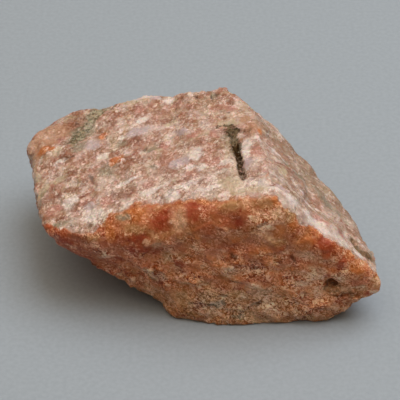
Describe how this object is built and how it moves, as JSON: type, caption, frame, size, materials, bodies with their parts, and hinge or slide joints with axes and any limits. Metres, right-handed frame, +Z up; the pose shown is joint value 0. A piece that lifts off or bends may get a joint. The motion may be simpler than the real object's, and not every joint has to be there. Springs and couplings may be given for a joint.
{
  "type": "rough sunstone",
  "caption": "Rough lump of pink-orange sunstone feldspar with broken crystalline faces, a pointed end and a flat spot to rest on, for display or set dressing.",
  "frame": {"origin": "under the middle of the stone's bounding box, on the surface that it rests on", "axes": "+X along the stone's length towards its pointed end, -Y out of its steep front face, +Z up"},
  "size_m": [0.085, 0.055, 0.036],
  "materials": {
    "feldspar": "rough broken feldspar: frosted pink and white on top, orange to red-brown and translucent at the front, with a dark seam"
  },
  "bodies": {
    "root": {"sunstone": "feldspar"}
  },
  "joints": []
}
